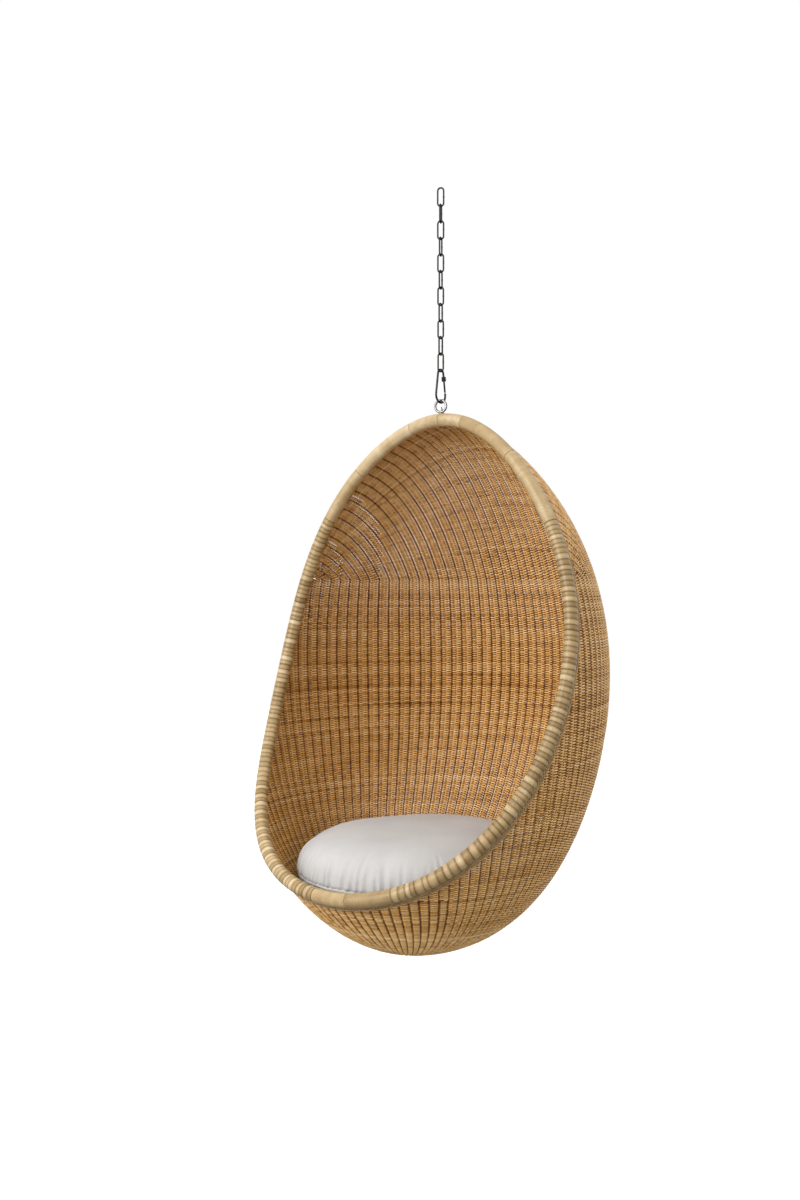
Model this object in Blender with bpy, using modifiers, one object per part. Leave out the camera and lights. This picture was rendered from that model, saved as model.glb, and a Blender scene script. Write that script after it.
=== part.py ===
"""Hanging egg chair: woven cane egg with a wound rim, hung by a snap hook and a long-link chain.

Metres, +Z up, the chair opens towards -Y. The origin is the inner top of the highest chain link.
"""

from math import acos, asin, cos, pi, radians, sin, sqrt

import bmesh
import bpy
import numpy as np
from mathutils import Matrix, Vector

GAP = 0.0003

# Chain: steel links of round wire
LINK_COUNT = 11
LINK_WIRE_R = 0.0020
LINK_INNER_LENGTH = 0.0393
LINK_WIDTH = 0.0184
LINK_END_STEPS = 6
LINK_PITCH = LINK_INNER_LENGTH - GAP
CHAIN_TURN_LOW = 4.0
CHAIN_TURN_EXTRA = 20.0
CHAIN_TURN_POWER = 1.6

# Snap hook: pear-shaped wire in the YZ plane, gate on the +Y side
HOOK_WIRE_R = 0.0025
HOOK_TOP_R = 0.0104
HOOK_LOW_R = 0.0179
HOOK_HEIGHT = 0.0784
GATE_PIVOT_DROP = 0.0190
GATE_END_DROP = 0.0505
GATE_R = 0.0022
RIVET_R = 0.0010
FORK_WIDTH = 0.0070
FORK_THICK = 0.0078
TONGUE_THICK = 0.0026

# Eye bolt through the top of the rim
EYE_R = 0.0140
EYE_WIRE_R = 0.0030
EYE_TURN = 12.0
SHANK_END = 0.0175
WASHER_R = 0.0075
WASHER_T = 0.0012
NUT_R = 0.0057
NUT_T = 0.0045
SEAT_DROP = 0.0012

# Rim hoop and its binding
POLE_R = 0.0073
BORE_R = 0.0083
BINDING_R = 0.0155
EYE_HALF_GAP = 0.0092
SEAMS_RIGHT = (0.070, 0.239, 0.436, 0.770, 1.100, 1.399)
SEAMS_LEFT = (0.084, 0.262, 0.405, 0.790, 1.160, 1.520)
SLEEVE_STEP = 0.064
END_STEP = 0.002

# Egg: horizontal ellipses between a crown and a low pole; cos series in the polar angle
EGG_HEIGHT = 1.2200
RIM_DROP = 1.0520
HALF_WIDTH = (0.42151, -0.04600, 0.01382, -0.01921)
POLE_Y = -0.13028
BACK_DEPTH = (0.45206, -0.04934, -0.03525)
FRONT_TILT = (0.11883, -0.02851)
OPENING_SHEET = (-0.29711, 0.85451, -1.41181, 0.46114)
SHELL_THICK = 0.0086
SHELL_CLEAR = 0.0016
SHELL_AROUND = 52
SHELL_RINGS = 12
SHELL_EYE = Vector((0.0, -0.06, -0.62))
SHELL_CENTRE = Vector((0.0, 0.34, -0.80))
BORDER_R = 0.0030
BORDER_OFFSET = 0.0145

# Seat cushion
CUSHION_Y = -0.081
CUSHION_Z = -1.044
CUSHION_R = 0.286
CUSHION_RISE = 0.106
CUSHION_SINK = 0.052
CLOTH_THICK = 0.0016
PIPING_R = 0.0040
CUSHION_SIDES = 32
CUSHION_STEPS = 5

HOOK_TOP_Z = -(LINK_COUNT - 1) * LINK_PITCH - LINK_INNER_LENGTH + GAP
HOOK_INNER = HOOK_HEIGHT - 2 * HOOK_WIRE_R
EYE_TOP_Z = HOOK_TOP_Z - HOOK_INNER + GAP
EYE_Z = EYE_TOP_Z - EYE_R + EYE_WIRE_R
RIM_Z = EYE_Z - EYE_R - EYE_WIRE_R - GAP - BINDING_R


def clear_scene():
    for item in list(bpy.data.objects):
        bpy.data.objects.remove(item, do_unlink=True)


def new_collection(name):
    made = bpy.data.collections.new(name)
    bpy.context.scene.collection.children.link(made)
    return made


def material(name, colour, rough, metal=0.0):
    made = bpy.data.materials.new(name)
    made.use_nodes = True
    shader = made.node_tree.nodes["Principled BSDF"]
    shader.inputs["Base Color"].default_value = (*colour, 1.0)
    shader.inputs["Roughness"].default_value = rough
    shader.inputs["Metallic"].default_value = metal
    return made


def add_body(name, mesh, mat, place=(0, 0, 0), turn_z=0.0, smooth=True):
    body = bpy.data.objects.new(name, mesh)
    body.location = place
    body.rotation_euler = (0, 0, turn_z)
    mesh.materials.clear()
    mesh.materials.append(mat)
    for face in mesh.polygons:
        face.use_smooth = smooth
    CHAIR.objects.link(body)
    return body


def refresh():
    bpy.context.view_layer.update()


def finished_mesh(source, weld=1e-6):
    """The evaluated mesh of an object, welded and facing outwards."""
    refresh()
    graph = bpy.context.evaluated_depsgraph_get()
    mesh = bpy.data.meshes.new_from_object(source.evaluated_get(graph), depsgraph=graph)
    mesh.transform(source.matrix_world)
    work = bmesh.new()
    work.from_mesh(mesh)
    bmesh.ops.remove_doubles(work, verts=work.verts, dist=weld)
    bmesh.ops.recalc_face_normals(work, faces=work.faces)
    work.to_mesh(mesh)
    work.free()
    return mesh


def wire_mesh(points, radius, closed, resolution=2, capped=True):
    """A round wire along points, from a bevelled poly curve."""
    curve = bpy.data.curves.new("wire", "CURVE")
    curve.dimensions = "3D"
    curve.bevel_depth = radius
    curve.bevel_resolution = resolution
    curve.use_fill_caps = capped and not closed
    line = curve.splines.new("POLY")
    line.points.add(len(points) - 1)
    for spot, point in zip(line.points, points):
        spot.co = (*point, 1.0)
    line.use_cyclic_u = closed
    holder = bpy.data.objects.new("wire", curve)
    bpy.context.scene.collection.objects.link(holder)
    mesh = finished_mesh(holder)
    bpy.data.objects.remove(holder, do_unlink=True)
    return mesh


def cone_mesh(radius, depth, sides, matrix):
    work = bmesh.new()
    bmesh.ops.create_cone(
        work, cap_ends=True, segments=sides, radius1=radius, radius2=radius, depth=depth, matrix=matrix
    )
    mesh = bpy.data.meshes.new("round")
    work.to_mesh(mesh)
    work.free()
    return mesh


def box_mesh(size, matrix):
    work = bmesh.new()
    bmesh.ops.create_cube(work, size=1.0, matrix=matrix @ Matrix.Diagonal((*size, 1.0)))
    mesh = bpy.data.meshes.new("block")
    work.to_mesh(mesh)
    work.free()
    return mesh


def cutter(name, mesh):
    body = bpy.data.objects.new(name, mesh)
    CUTTERS.objects.link(body)
    body.hide_render = True
    body.display_type = "WIRE"
    return body


def combine(body, other, operation):
    change = body.modifiers.new(operation.lower(), "BOOLEAN")
    change.operation = operation
    change.solver = "EXACT"
    change.object = other


def spun_mesh(profile, sides):
    """Turns a profile at +X, top to bottom, about Z."""
    work = bmesh.new()
    spots = [work.verts.new((x, 0.0, z)) for x, z in profile]
    for first, second in zip(spots, spots[1:]):
        work.edges.new((first, second))
    mesh = bpy.data.meshes.new("profile")
    work.to_mesh(mesh)
    work.free()
    holder = bpy.data.objects.new("profile", mesh)
    bpy.context.scene.collection.objects.link(holder)
    turn = holder.modifiers.new("turn", "SCREW")
    turn.steps = sides
    turn.render_steps = sides
    turn.use_merge_vertices = True
    turn.merge_threshold = 0.00005
    spun = finished_mesh(holder)
    bpy.data.objects.remove(holder, do_unlink=True)
    return spun


# ---------------------------------------------------------------- chain


def link_turn(number):
    """The direction of a link's plane about Z, alternate links standing crosswise."""
    share = (LINK_COUNT - number) / (LINK_COUNT - 1)
    turn = CHAIN_TURN_LOW + CHAIN_TURN_EXTRA * share**CHAIN_TURN_POWER
    return radians(turn + (90.0 if number % 2 == 0 else 0.0))


def link_points(lift):
    """Centre line of one link in XZ; lift is the height of its inner top above its origin."""
    bend = LINK_WIDTH / 2 - LINK_WIRE_R
    top = lift + LINK_WIRE_R - bend
    low = lift - LINK_INNER_LENGTH - LINK_WIRE_R + bend
    points = []
    for step in range(LINK_END_STEPS + 1):
        angle = pi * step / LINK_END_STEPS
        points.append((bend * cos(angle), 0.0, top + bend * sin(angle)))
    for step in range(LINK_END_STEPS + 1):
        angle = pi + pi * step / LINK_END_STEPS
        points.append((bend * cos(angle), 0.0, low + bend * sin(angle)))
    return points


def build_chain():
    for number in range(1, LINK_COUNT + 1):
        inner_top = -(number - 1) * LINK_PITCH
        pivot = 0.0 if number == 1 else inner_top - GAP - LINK_WIRE_R
        mesh = wire_mesh(link_points(inner_top - pivot), LINK_WIRE_R, True)
        name = f"chain_link_{number:02d}"
        mat = material(name, (0.105, 0.103, 0.098), 0.42, 1.0)
        add_body(name, mesh, mat, (0, 0, pivot), link_turn(number))


# ---------------------------------------------------------------- snap hook


def hook_slope():
    span = HOOK_HEIGHT - HOOK_TOP_R - HOOK_LOW_R
    return asin((HOOK_LOW_R - HOOK_TOP_R) / span)


def gate_line(drop):
    """A point of the hook's straight side, drop below the inner top, on the gate's side."""
    slope = hook_slope()
    start = Vector((0, HOOK_TOP_R * cos(slope), HOOK_WIRE_R - HOOK_TOP_R + HOOK_TOP_R * sin(slope)))
    along = Vector((0, sin(slope), -cos(slope)))
    return start + along * ((start.z + drop) / cos(slope))


def hook_points():
    slope = hook_slope()
    top_z = HOOK_WIRE_R - HOOK_TOP_R
    low_z = HOOK_WIRE_R - HOOK_HEIGHT + HOOK_LOW_R
    points = [gate_line(GATE_PIVOT_DROP - 0.004)]
    for step in range(11):
        angle = slope + (pi - 2 * slope) * step / 10
        points.append(Vector((0, HOOK_TOP_R * cos(angle), top_z + HOOK_TOP_R * sin(angle))))
    for step in range(15):
        angle = pi - slope + (pi + 2 * slope) * step / 14
        points.append(Vector((0, HOOK_LOW_R * cos(angle), low_z + HOOK_LOW_R * sin(angle))))
    points.append(gate_line(GATE_END_DROP + GAP + 0.0010))
    return points


def slope_frame(spot):
    return Matrix.Translation(spot) @ Matrix.Rotation(hook_slope(), 4, "X")


def build_hook():
    steel = material("snap_hook", (0.030, 0.030, 0.031), 0.38, 1.0)
    pivot_z = -LINK_WIRE_R - GAP
    shift = Matrix.Translation((0, 0, -pivot_z))
    mesh = wire_mesh(hook_points(), HOOK_WIRE_R, False)
    mesh.transform(shift)
    place = (0, 0, HOOK_TOP_Z + pivot_z)
    hook = add_body("snap_hook", mesh, steel, place)
    rivet = gate_line(GATE_PIVOT_DROP)
    block = cutter("fork_block", box_mesh((FORK_THICK, FORK_WIDTH, 0.0110), slope_frame(rivet)))
    slot_spot = rivet + Vector((0, 0, -0.0022))
    slot_size = (TONGUE_THICK + 2 * GAP, 0.0200, 0.0100)
    slot = cutter("fork_slot", box_mesh(slot_size, slope_frame(slot_spot)))
    across = Matrix.Translation(rivet) @ Matrix.Rotation(pi / 2, 4, "Y")
    bore = cutter("fork_bore", cone_mesh(RIVET_R + GAP, 0.02, 12, across))
    for tool in (block, slot, bore):
        tool.matrix_world = Matrix.Translation((0, 0, HOOK_TOP_Z))
    combine(hook, block, "UNION")
    combine(hook, slot, "DIFFERENCE")
    combine(hook, bore, "DIFFERENCE")
    build_gate(rivet)
    build_rivet(rivet)


def build_gate(rivet):
    steel = material("snap_gate", (0.030, 0.030, 0.031), 0.38, 1.0)
    place = Vector((0, 0, HOOK_TOP_Z)) + rivet
    top = gate_line(GATE_PIVOT_DROP + 0.0064) - rivet
    low = gate_line(GATE_END_DROP) - rivet
    gate = add_body("snap_gate", wire_mesh([top, low], GATE_R, False), steel, place)
    flat = gate_line(GATE_PIVOT_DROP + 0.0036) - rivet
    tongue = cutter("gate_tongue", box_mesh((TONGUE_THICK, 0.0040, 0.0114), slope_frame(flat)))
    bore = cutter("gate_bore", cone_mesh(RIVET_R + GAP, 0.02, 12, Matrix.Rotation(pi / 2, 4, "Y")))
    for tool in (tongue, bore):
        tool.matrix_world = Matrix.Translation(place)
    combine(gate, tongue, "UNION")
    combine(gate, bore, "DIFFERENCE")


def build_rivet(rivet):
    steel = material("gate_rivet", (0.12, 0.12, 0.12), 0.35, 1.0)
    half = FORK_THICK / 2 + GAP
    head = RIVET_R + 0.0008
    profile = [(0, half + 0.0008), (head, half + 0.0008), (head, half), (RIVET_R, half)]
    profile += [(x, -z) for x, z in reversed(profile)]
    mesh = spun_mesh(profile, 12)
    mesh.transform(Matrix.Rotation(pi / 2, 4, "Y"))
    add_body("gate_rivet", mesh, steel, Vector((0, 0, HOOK_TOP_Z)) + rivet)


# ---------------------------------------------------------------- eye bolt


def build_eye_bolt():
    bright = material("eye_bolt", (0.62, 0.62, 0.61), 0.22, 1.0)
    pivot_z = EYE_TOP_Z - GAP - HOOK_WIRE_R
    ring = []
    for step in range(24):
        angle = 2 * pi * step / 24 + pi / 24
        ring.append((EYE_R * cos(angle), 0.0, EYE_Z - pivot_z + EYE_R * sin(angle)))
    eye = add_body("eye_bolt", wire_mesh(ring, EYE_WIRE_R, True), bright, (0, 0, pivot_z), radians(EYE_TURN))
    shank_top = EYE_Z - EYE_R
    shank_low = RIM_Z - SHANK_END
    middle = Matrix.Translation((0, 0, (shank_top + shank_low) / 2))
    shank = cutter("eye_shank", cone_mesh(EYE_WIRE_R, shank_top - shank_low, 12, middle))
    combine(eye, shank, "UNION")
    seat = RIM_Z - POLE_R - SEAT_DROP
    ring_part("eye_washer", WASHER_R, WASHER_T, seat, 16, (0.45, 0.45, 0.44))
    ring_part("eye_nut", NUT_R, NUT_T, seat - WASHER_T - GAP, 6, (0.45, 0.45, 0.44))


def ring_part(name, radius, thick, top, sides, colour):
    """A washer or nut: a disc or hexagon with a round hole for the shank."""
    steel = material(name, colour, 0.35, 1.0)
    place = Matrix.Translation((0, 0, -thick / 2))
    body = add_body(name, cone_mesh(radius, thick, sides, place), steel, (0, 0, top), 0.0, False)
    hole = cutter(name + "_hole", cone_mesh(EYE_WIRE_R + GAP, 0.02, 12, Matrix.Translation((0, 0, top))))
    combine(body, hole, "DIFFERENCE")


# ---------------------------------------------------------------- egg surface


def series(factors, angle):
    return sum(factor * cos(order * angle) for order, factor in enumerate(factors))


def sheet_y(drop):
    """How far back the edge of the opening stands at a depth below the crown."""
    share = drop / RIM_DROP
    return share * sum(f * share**n for n, f in enumerate(OPENING_SHEET))


def front_lead():
    """The first front factor, set so that the front profile meets the opening at its lowest point."""
    angle = acos(1 - 2 * RIM_DROP / EGG_HEIGHT)
    base = POLE_Y * RIM_DROP / EGG_HEIGHT
    rest = series((0.0, *FRONT_TILT), angle)
    return (base - sheet_y(RIM_DROP)) / sin(angle) - rest


FRONT_DEPTH = (front_lead(), *FRONT_TILT)


def section(drop):
    """Half width, centre Y and half depth of the egg at a depth below the crown."""
    share = min(max(drop / EGG_HEIGHT, 0.0), 1.0)
    angle = acos(1 - 2 * share)
    base = POLE_Y * share
    back = base + sin(angle) * series(BACK_DEPTH, angle)
    front = base - sin(angle) * series(FRONT_DEPTH, angle)
    return sin(angle) * series(HALF_WIDTH, angle), (back + front) / 2, (back - front) / 2


def inside(point):
    """Below 1 inside the egg, above 1 outside."""
    if not 0 < -point.z < EGG_HEIGHT:
        return 9.0
    wide, middle, deep = section(-point.z)
    return (point.x / wide) ** 2 + ((point.y - middle) / deep) ** 2


def surface_point(direction):
    """Where a ray from the middle of the egg leaves it."""
    near, far = 0.0, 1.5
    for _ in range(44):
        half = (near + far) / 2
        if inside(SHELL_EYE + direction * half) < 1:
            near = half
        else:
            far = half
    return SHELL_EYE + direction * near


def rim_half():
    """The right half of the rim's centre line, crown to low middle, evenly spaced."""
    rough = []
    for step in range(1201):
        drop = RIM_DROP * (1 - cos(pi * step / 1200)) / 2
        wide, middle, deep = section(drop)
        edge = sheet_y(drop)
        lean = min(max((edge - middle) / max(deep, 1e-9), -1.0), 1.0)
        rough.append((wide * sqrt(1 - lean * lean), edge, -drop))
    rough = np.array(rough)
    rough[0] = (0.0, 0.0, 0.0)
    rough[-1] = (0.0, sheet_y(RIM_DROP), -RIM_DROP)
    return rough


RIM_POINTS = rim_half()
RIM_RUN = np.concatenate(([0.0], np.cumsum(np.linalg.norm(np.diff(RIM_POINTS, axis=0), axis=1))))
RIM_LENGTH = float(RIM_RUN[-1])


def rim_point(run):
    """A point of the rim, run metres from the crown; positive runs down the +X side."""
    side = 1.0
    run = (run + RIM_LENGTH) % (2 * RIM_LENGTH) - RIM_LENGTH
    if run < 0:
        side, run = -1.0, -run
    x, y, z = (float(np.interp(run, RIM_RUN, RIM_POINTS[:, axis])) for axis in range(3))
    return Vector((side * x, y, z))


def rim_loop(count, start=0.0):
    return [rim_point(start + 2 * RIM_LENGTH * step / count) for step in range(count)]


def in_world(points):
    return [Vector(point) + Vector((0, 0, RIM_Z)) for point in points]


def sleeve_runs():
    """For each binding section, the places along the rim where its wall has a ring."""
    stops = sorted([-s for s in SEAMS_LEFT] + [0.0] + list(SEAMS_RIGHT))
    stops.append(stops[0] + 2 * RIM_LENGTH)
    sections = []
    for start, end in zip(stops, stops[1:]):
        low = start + (EYE_HALF_GAP if abs(start) < GAP else GAP)
        high = end - (EYE_HALF_GAP if abs(end) < GAP else GAP)
        steps = max(2, round((high - low) / SLEEVE_STEP))
        runs = [low + (high - low) * n / steps for n in range(steps + 1)]
        runs[1:1] = [low + END_STEP]
        runs[-1:-1] = [high - END_STEP]
        sections.append(runs)
    return sections


def build_rim():
    steel = material("rim_pole", (0.10, 0.075, 0.05), 0.5, 0.6)
    runs = [run for section_runs in sleeve_runs() for run in section_runs]
    mesh = wire_mesh(in_world([rim_point(run) for run in runs]), POLE_R, True, 1)
    pole = add_body("rim_pole", mesh, steel)
    middle = Matrix.Translation((0, 0, RIM_Z))
    bore = cutter("pole_bore", cone_mesh(EYE_WIRE_R + GAP, 4 * POLE_R, 12, middle))
    combine(pole, bore, "DIFFERENCE")


def build_binding():
    for number, runs in enumerate(sleeve_runs(), 1):
        mesh = wire_mesh(in_world([rim_point(run) for run in runs]), BINDING_R, False, capped=False)
        name = f"rim_binding_{number:02d}"
        sleeve = add_body(name, mesh, material(name, (0.58, 0.44, 0.27), 0.6))
        wall = sleeve.modifiers.new("wall", "SOLIDIFY")
        wall.thickness = BINDING_R - BORE_R
        wall.offset = -1.0


def clear_of_rim(point, centre_line, distance):
    return float(np.min(np.linalg.norm(centre_line - np.array(point), axis=1))) > distance


def shell_spoke(run, centre_line):
    """Directions from the rim to the middle of the back, starting clear of the binding."""
    first = (rim_point(run) - SHELL_EYE).normalized()
    last = (SHELL_CENTRE - SHELL_EYE).normalized()
    near, far = 0.0, 0.4
    clearance = BINDING_R + SHELL_CLEAR
    for _ in range(16):
        half = (near + far) / 2
        if clear_of_rim(surface_point(first.slerp(last, half)), centre_line, clearance):
            far = half
        else:
            near = half
    spoke = []
    for ring in range(SHELL_RINGS):
        share = far + (1 - far) * (ring / SHELL_RINGS)
        spoke.append(surface_point(first.slerp(last, share)))
    return spoke


def build_shell():
    cane = material("woven_shell", (0.52, 0.33, 0.15), 0.65)
    centre_line = np.array([tuple(point) for point in rim_loop(480)])
    spokes = []
    for step in range(SHELL_AROUND):
        run = 2 * RIM_LENGTH * (step + 0.5) / SHELL_AROUND
        spokes.append(shell_spoke(run, centre_line))
    hub_point = surface_point((SHELL_CENTRE - SHELL_EYE).normalized())
    work = bmesh.new()
    grid = [[work.verts.new(point) for point in spoke] for spoke in spokes]
    hub = work.verts.new(hub_point)
    for spoke, following in zip(grid, grid[1:] + grid[:1]):
        for ring in range(SHELL_RINGS - 1):
            work.faces.new((spoke[ring], following[ring], following[ring + 1], spoke[ring + 1]))
        work.faces.new((spoke[-1], following[-1], hub))
    bmesh.ops.recalc_face_normals(work, faces=work.faces)
    if sum(face.normal.dot(face.calc_center_median() - SHELL_EYE) for face in work.faces) < 0:
        bmesh.ops.reverse_faces(work, faces=work.faces)
    bmesh.ops.translate(work, verts=work.verts, vec=(0, 0, RIM_Z))
    mesh = bpy.data.meshes.new("woven_shell")
    work.to_mesh(mesh)
    work.free()
    shell = add_body("woven_shell", mesh, cane)
    wall = shell.modifiers.new("wall", "SOLIDIFY")
    wall.thickness = SHELL_THICK
    wall.offset = 0.0
    build_border(centre_line)


def build_border(centre_line):
    """The twisted border row that lies on the outside of the shell beside the rim."""
    cane = material("border_braid", (0.45, 0.31, 0.17), 0.65)
    count = 64
    points = []
    for step in range(count):
        run = 2 * RIM_LENGTH * step / count
        first = (rim_point(run) - SHELL_EYE).normalized()
        last = (SHELL_CENTRE - SHELL_EYE).normalized()
        near, far = 0.0, 0.4
        for _ in range(16):
            half = (near + far) / 2
            spot = surface_point(first.slerp(last, half))
            if clear_of_rim(spot, centre_line, BINDING_R + BORDER_OFFSET):
                far = half
            else:
                near = half
        spot = surface_point(first.slerp(last, far))
        points.append(spot + surface_normal(spot) * (SHELL_THICK / 2 + BORDER_R + 0.0012))
    add_body("border_braid", wire_mesh(in_world(points), BORDER_R, True, 1), cane)


def surface_normal(point):
    step = 0.0005
    slopes = []
    for axis in range(3):
        offset = Vector((0, 0, 0))
        offset[axis] = step
        slopes.append(inside(point + offset) - inside(point - offset))
    return Vector(slopes).normalized()


# ---------------------------------------------------------------- cushion


def dome_profile(rise, radius, upward):
    """Half of a puffed cushion, crown to edge, as (x, z)."""
    profile = []
    for step in range(CUSHION_STEPS + 1):
        angle = pi / 2 * (1 - step / CUSHION_STEPS)
        x = radius * cos(angle) ** 0.62
        z = rise * sin(angle) ** 0.62
        profile.append((x, z if upward else -z))
    profile[0] = (0.0, profile[0][1])
    return profile


def panel_mesh(rise, radius, upward):
    """A cloth panel over half of the filling, open at the edge, with even thickness."""
    outer = dome_profile(rise, radius, upward)
    inner = dome_profile(rise - CLOTH_THICK, radius - CLOTH_THICK, upward)
    lift = GAP if upward else -GAP
    outer[-1] = (outer[-1][0], lift)
    inner[-1] = (inner[-1][0], lift)
    loop = outer + inner[::-1]
    if not upward:
        loop = loop[::-1]
    return spun_mesh(loop, CUSHION_SIDES)


def build_cushion():
    cloth = (0.76, 0.75, 0.73)
    place = Vector((0, CUSHION_Y, CUSHION_Z + RIM_Z))
    for name, rise, upward in (
        ("cushion_top_panel", CUSHION_RISE, True),
        ("cushion_bottom_panel", CUSHION_SINK, False),
    ):
        radius = CUSHION_R - 2 * PIPING_R - GAP
        add_body(name, panel_mesh(rise, radius, upward), material(name, cloth, 0.9), place)
    inset = CLOTH_THICK + 2 * GAP
    radius = CUSHION_R - 2 * PIPING_R - GAP - inset
    upper = dome_profile(CUSHION_RISE - inset, radius, True)
    lower = dome_profile(CUSHION_SINK - inset, radius, False)
    filling = spun_mesh(upper[:-1] + [(radius, 0.0)] + lower[:-1][::-1], CUSHION_SIDES)
    add_body("cushion_filling", filling, material("cushion_filling", (0.9, 0.9, 0.88), 0.95), place)
    ring = []
    for step in range(CUSHION_SIDES):
        angle = 2 * pi * step / CUSHION_SIDES
        ring.append(((CUSHION_R - PIPING_R) * cos(angle), (CUSHION_R - PIPING_R) * sin(angle), 0.0))
    add_body("cushion_piping", wire_mesh(ring, PIPING_R, True, 1), material("cushion_piping", cloth, 0.85), place)


clear_scene()
CHAIR = new_collection("hanging_egg_chair")
CUTTERS = new_collection("cutters")
build_chain()
build_hook()
build_eye_bolt()
build_rim()
build_binding()
build_shell()
build_cushion()
refresh()
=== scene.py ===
from math import cos, pi, radians, sin

import bpy
import numpy as np
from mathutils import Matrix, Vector


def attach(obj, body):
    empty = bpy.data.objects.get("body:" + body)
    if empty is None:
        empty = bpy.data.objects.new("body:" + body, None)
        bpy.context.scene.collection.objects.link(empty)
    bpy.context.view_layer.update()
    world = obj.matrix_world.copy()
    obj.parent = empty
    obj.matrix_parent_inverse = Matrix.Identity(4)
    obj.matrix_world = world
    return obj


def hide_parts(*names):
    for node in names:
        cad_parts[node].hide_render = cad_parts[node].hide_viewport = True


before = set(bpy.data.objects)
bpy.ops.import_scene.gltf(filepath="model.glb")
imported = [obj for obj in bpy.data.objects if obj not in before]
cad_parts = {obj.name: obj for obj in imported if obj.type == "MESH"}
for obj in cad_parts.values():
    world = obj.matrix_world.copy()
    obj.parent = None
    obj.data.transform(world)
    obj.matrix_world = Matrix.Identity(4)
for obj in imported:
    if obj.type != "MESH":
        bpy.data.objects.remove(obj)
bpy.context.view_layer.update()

RANDOM = np.random.default_rng(11)

# ---------------------------------------------------------------- sizes shared with the CAD part
GAP = 0.0003
LINK_COUNT = 11
LINK_WIRE_R = 0.0020
LINK_INNER_LENGTH = 0.0393
LINK_WIDTH = 0.0184
LINK_PITCH = LINK_INNER_LENGTH - GAP
HOOK_WIRE_R = 0.0025
HOOK_HEIGHT = 0.0784
EYE_R = 0.0140
EYE_WIRE_R = 0.0030
EYE_TURN = 12.0
BINDING_R = 0.0155
SEAMS_RIGHT = (0.070, 0.239, 0.436, 0.770, 1.100, 1.399)
SEAMS_LEFT = (0.084, 0.262, 0.405, 0.790, 1.160, 1.520)
EGG_HEIGHT = 1.2200
RIM_DROP = 1.0520
HALF_WIDTH = (0.42151, -0.04600, 0.01382, -0.01921)
POLE_Y = -0.13028
BACK_DEPTH = (0.45206, -0.04934, -0.03525)
FRONT_TILT = (0.11883, -0.02851)
OPENING_SHEET = (-0.29711, 0.85451, -1.41181, 0.46114)
HOOK_TOP_Z = -(LINK_COUNT - 1) * LINK_PITCH - LINK_INNER_LENGTH + GAP
EYE_TOP_Z = HOOK_TOP_Z - (HOOK_HEIGHT - 2 * HOOK_WIRE_R) + GAP
EYE_Z = EYE_TOP_Z - EYE_R + EYE_WIRE_R
RIM_Z = EYE_Z - EYE_R - EYE_WIRE_R - GAP - BINDING_R
CUSHION_Y = -0.081
CUSHION_Z = -1.044
CUSHION_R = 0.286
CUSHION_RISE = 0.106
CUSHION_SINK = 0.052
CUSHION_CENTRE = np.array((0.0, CUSHION_Y, CUSHION_Z + RIM_Z))

# ---------------------------------------------------------------- weave
ROW_PITCH = 0.00304
WEAVE_SWING = 0.0025
CANE_UP = 0.00150
STAKE_UP = 0.0012
STAKE_SIDE = 0.0030
PAIRS = 96
PAIR_OPEN = 0.195
# Painted shade: how far the weavers' tone drops in the middle of each wide gap between stake pairs.
GAP_SHADE = 0.62
FAN_DROP = 0.375
TUCK = 0.0118
PIECE_FACES = 84000
PASS_STAKE, PASS_PAIR = 0.25, 0.31
LONG_PASS = 1.55
CANE_SIDE = (0.0012, 0.0024)


def series(factors, angle):
    return sum(factor * np.cos(order * angle) for order, factor in enumerate(factors))


def sheet_y(drop):
    share = np.asarray(drop, float) / RIM_DROP
    return share * sum(f * share**n for n, f in enumerate(OPENING_SHEET))


def front_lead():
    angle = np.arccos(1 - 2 * RIM_DROP / EGG_HEIGHT)
    base = POLE_Y * RIM_DROP / EGG_HEIGHT
    return (base - sheet_y(RIM_DROP)) / np.sin(angle) - series((0.0, *FRONT_TILT), angle)


FRONT_DEPTH = (float(front_lead()), *FRONT_TILT)


def section(drop):
    """Half width, centre Y and half depth of the egg at depths below its crown."""
    share = np.clip(np.asarray(drop, float) / EGG_HEIGHT, 1e-7, 1 - 1e-7)
    angle = np.arccos(1 - 2 * share)
    base = POLE_Y * share
    back = base + np.sin(angle) * series(BACK_DEPTH, angle)
    front = base - np.sin(angle) * series(FRONT_DEPTH, angle)
    return np.sin(angle) * series(HALF_WIDTH, angle), (back + front) / 2, (back - front) / 2


def surface(drop, turn):
    wide, middle, deep = section(drop)
    height = RIM_Z - np.asarray(drop, float)
    flat = np.broadcast_arrays(wide * np.cos(turn), middle + deep * np.sin(turn), height)
    return np.stack(flat, -1)


def normals(points):
    """Outward unit normals of the egg at points on or near it."""
    drop = np.clip(RIM_Z - points[:, 2], 2e-4, EGG_HEIGHT - 2e-4)
    step = 5e-5
    wide, middle, deep = section(drop)
    after, before = section(drop + step), section(drop - step)
    wide_d, middle_d, deep_d = ((a - b) / (2 * step) for a, b in zip(after, before))
    x, y = points[:, 0], points[:, 1] - middle
    out_z = x * x * wide_d / wide**3 + y * middle_d / deep**2 + y * y * deep_d / deep**3
    out = np.stack([x / wide**2, y / deep**2, out_z], -1)
    return out / np.linalg.norm(out, axis=1, keepdims=True)


def rim_table():
    drop = RIM_DROP * (1 - np.cos(np.linspace(0, pi, 1201))) / 2
    wide, middle, deep = section(drop)
    edge = sheet_y(drop)
    lean = np.clip((edge - middle) / np.maximum(deep, 1e-9), -1, 1)
    points = np.stack([wide * np.sqrt(1 - lean * lean), edge, -drop], -1)
    points[0] = (0, 0, 0)
    points[-1] = (0, sheet_y(RIM_DROP), -RIM_DROP)
    return points


RIM_POINTS = rim_table()
RIM_STEPS = np.linalg.norm(np.diff(RIM_POINTS, axis=0), axis=1)
RIM_RUN = np.concatenate(([0.0], np.cumsum(RIM_STEPS)))
RIM_LENGTH = float(RIM_RUN[-1])


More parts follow.
